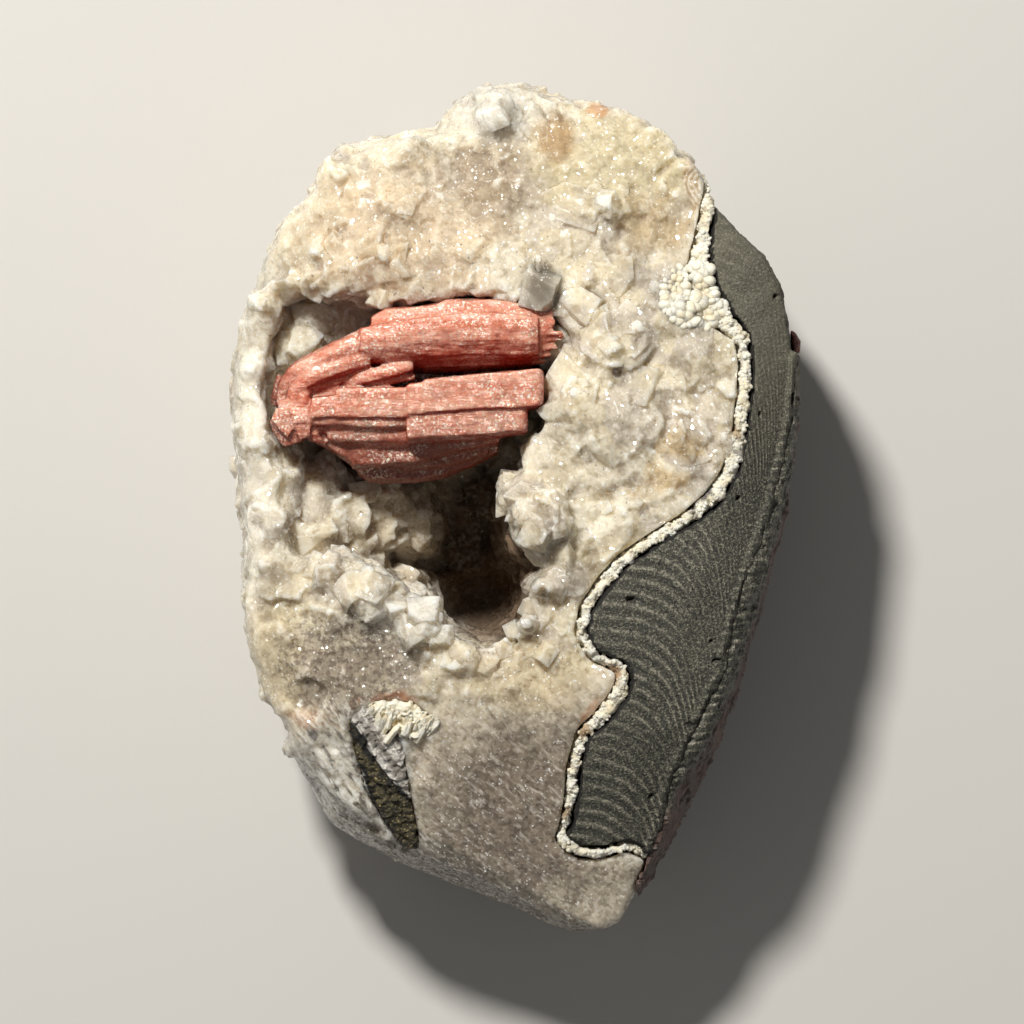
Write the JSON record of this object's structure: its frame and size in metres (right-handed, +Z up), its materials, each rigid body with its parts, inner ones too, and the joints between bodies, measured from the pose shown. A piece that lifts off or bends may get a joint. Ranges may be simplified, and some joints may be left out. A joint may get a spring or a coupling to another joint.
{
  "type": "epistilbite specimen",
  "caption": "Salmon-red epistilbite sheaf in an open vug lined with milky quartz crystals, on sawn dark basalt with a white rind. Lies on its flat sawn back.",
  "frame": {"origin": "centre of the specimen's box seen from above, on the flat sawn back that it lies on", "axes": "+Y along the length towards the broad quartz end, +Z up out of the vug, +X towards the basalt"},
  "size_m": [0.0718, 0.1076, 0.0454],
  "materials": {
    "milky_quartz": "sugary druse of small glassy crystals, milky white to cream",
    "sawn_basalt": "matt, grey-green, sawn with curved blade marks",
    "white_rind": "matt, beaded, cream-white",
    "epistilbite": "salmon to brick red, satin blades with a fine sparkle",
    "pink_crust": "satin, brownish pink crystalline crust",
    "dark_inclusion": "matt, dark green and grey, striated"
  },
  "bodies": {
    "root": {"quartz_body": "milky_quartz", "basalt_block": "sawn_basalt", "white_rind": "white_rind", "epistilbite_sheaf": "epistilbite", "edge_epistilbite": "epistilbite", "pink_crust": "pink_crust", "dark_inclusion": "dark_inclusion", "inclusion_rim": "white_rind"}
  },
  "joints": []
}
